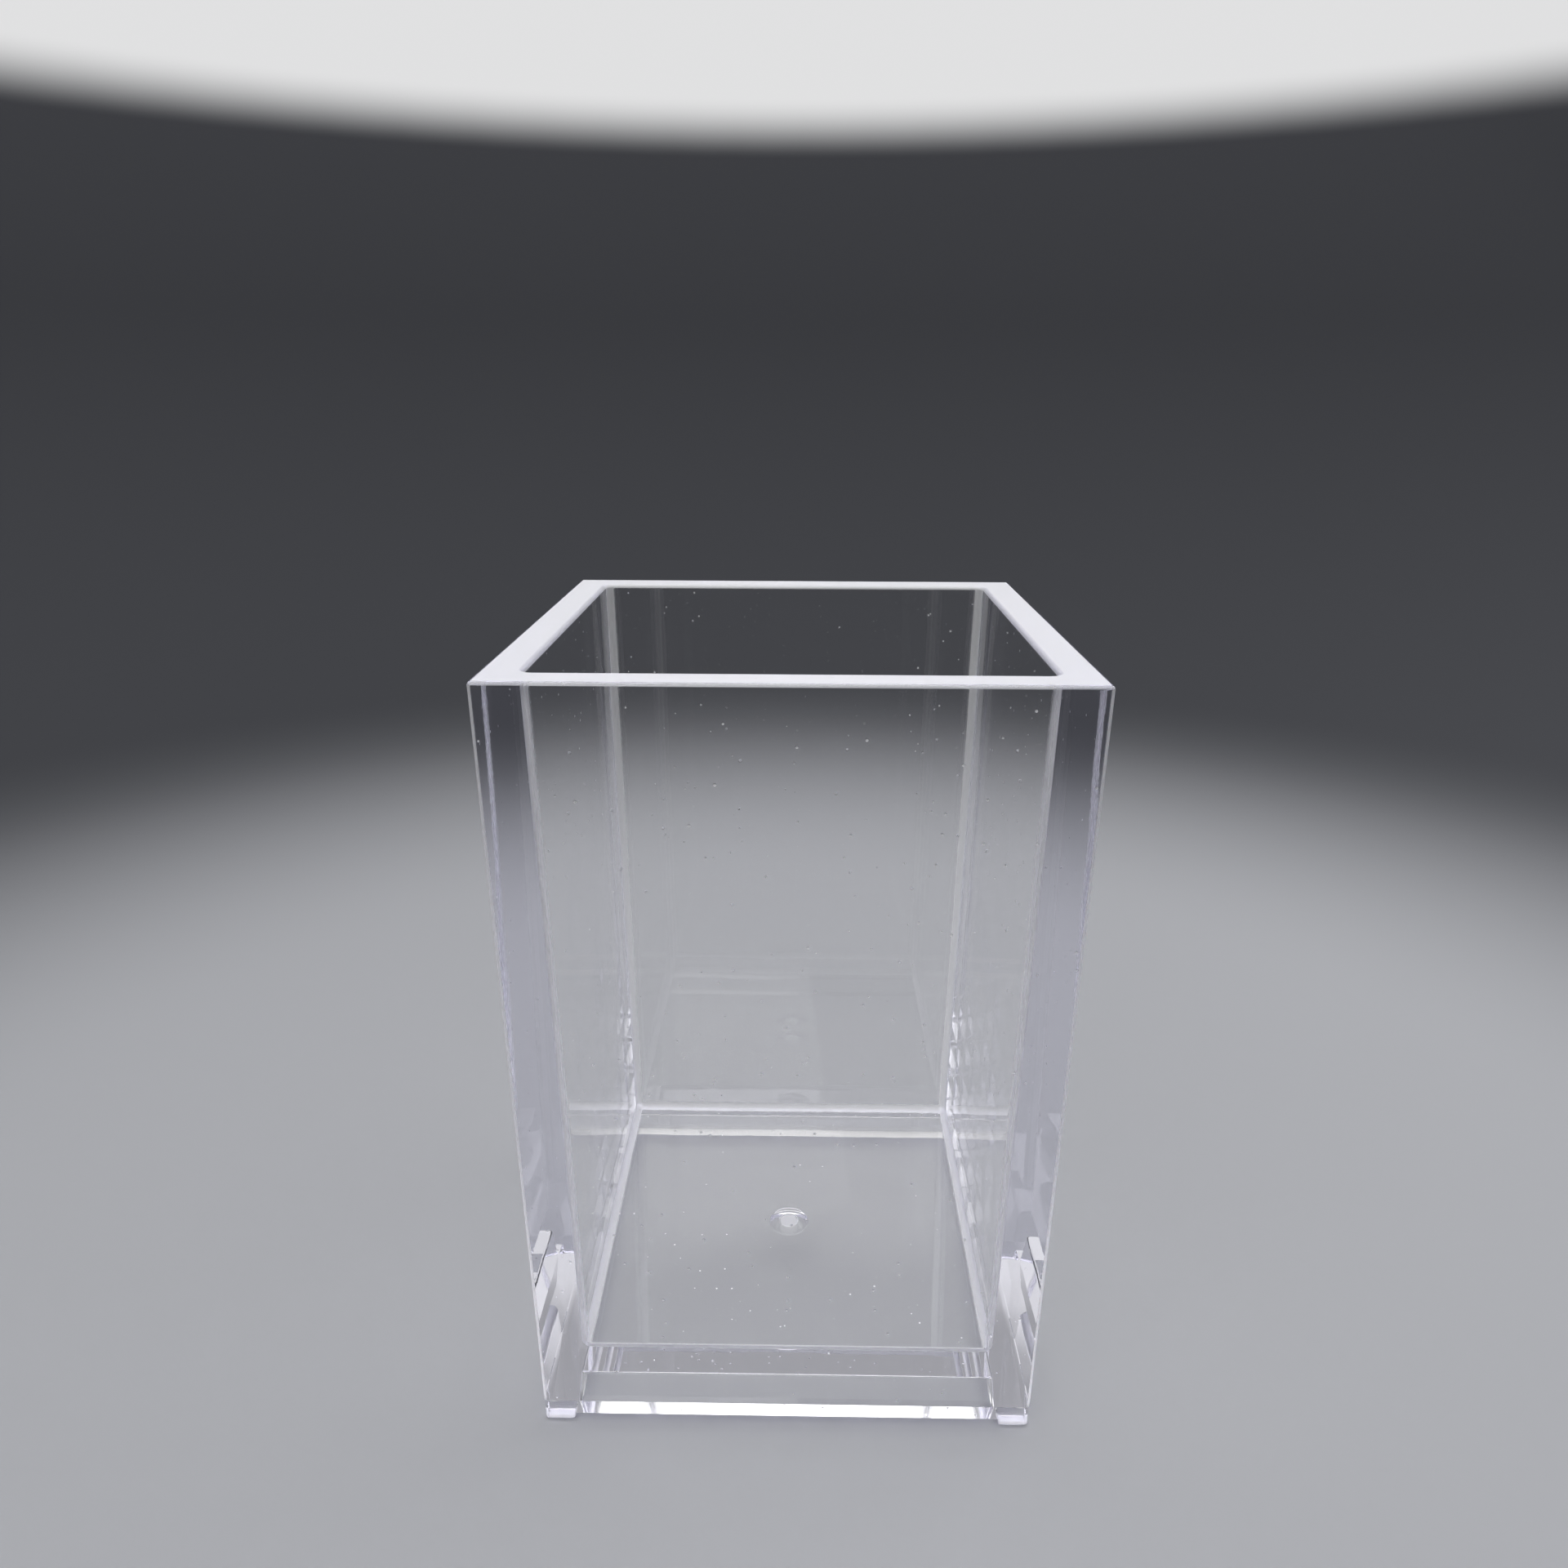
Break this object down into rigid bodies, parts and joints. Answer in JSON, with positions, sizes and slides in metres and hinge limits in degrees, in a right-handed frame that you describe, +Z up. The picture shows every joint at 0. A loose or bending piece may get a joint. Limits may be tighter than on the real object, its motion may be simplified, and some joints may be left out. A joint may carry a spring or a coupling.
{
  "type": "pen holder cup",
  "caption": "Clear square pen cup with thick walls that taper towards the base, a raised floor over a shallow recess, and small feet at its corners.",
  "frame": {"origin": "on the table, midway between the feet", "axes": "+Z up along the cup's axis, -Y towards the front, +X to the right"},
  "size_m": [0.067, 0.067, 0.1005],
  "materials": {
    "clear_polystyrene": "polished, water-clear with a faint violet tint at the edges"
  },
  "bodies": {
    "root": {"cup_body": "clear_polystyrene"}
  },
  "joints": []
}
